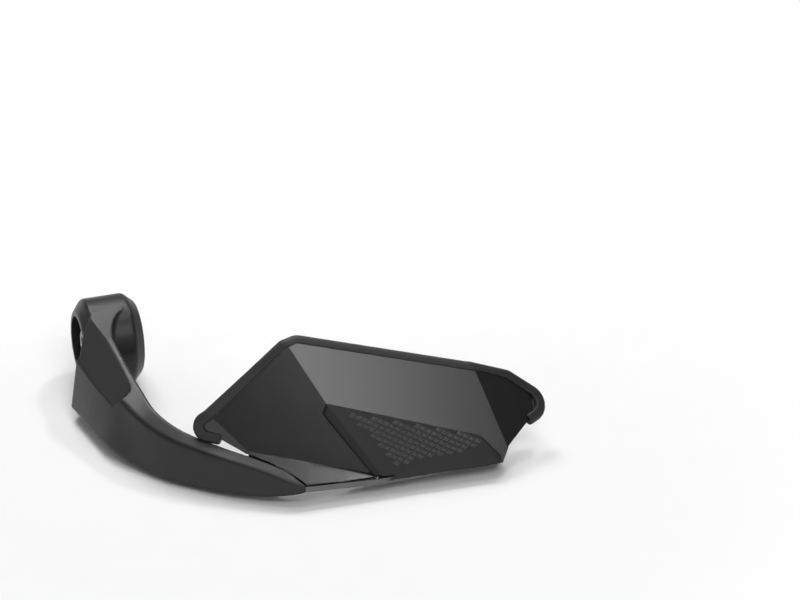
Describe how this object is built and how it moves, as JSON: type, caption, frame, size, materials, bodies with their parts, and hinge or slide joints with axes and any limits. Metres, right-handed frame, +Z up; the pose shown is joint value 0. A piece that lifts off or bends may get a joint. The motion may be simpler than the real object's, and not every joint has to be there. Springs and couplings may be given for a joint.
{
  "type": "motorcycle hand guard",
  "caption": "Handlebar end hand guard: a curved arm from a round bolted boss to a flat bracket, which carries a folded shield with a soft edge trim and a textured pad.",
  "frame": {"origin": "on the bolt's axis, in the plane of the boss's inboard seat", "axes": "+X inboard along the bolt, +Y to the rear, +Z up"},
  "size_m": [0.1986, 0.1674, 0.0638],
  "materials": {
    "arm_coat": "satin black powder coat with a fine grain",
    "plate_steel": "satin dark coat with brighter worn edges",
    "shield_plastic": "black moulded plastic with a satin surface",
    "trim_rubber": "soft black edge trim",
    "pad_rubber": "matt black rubber with a diamond pattern",
    "fastener_black": "black oxide steel",
    "fastener_steel": "plain bright steel",
    "insert_brass": "turned brass"
  },
  "bodies": {
    "root": {"arm": "arm_coat", "bar_end_bolt": "fastener_steel", "bolt_washer": "fastener_black", "boss_sleeve": "fastener_steel", "bracket_plate": "plate_steel", "arm_screw_front": "fastener_black", "arm_screw_rear": "fastener_black", "arm_insert_front": "insert_brass", "arm_insert_rear": "insert_brass", "shield_panel": "shield_plastic", "edge_trim": "trim_rubber", "impact_pad": "pad_rubber", "pad_nut_left": "fastener_steel", "pad_nut_right": "fastener_steel", "shield_screw_left": "fastener_black", "shield_screw_right": "fastener_black", "shield_washer_left": "fastener_black", "shield_washer_right": "fastener_black", "shield_insert_left": "insert_brass", "shield_insert_right": "insert_brass"}
  },
  "joints": []
}
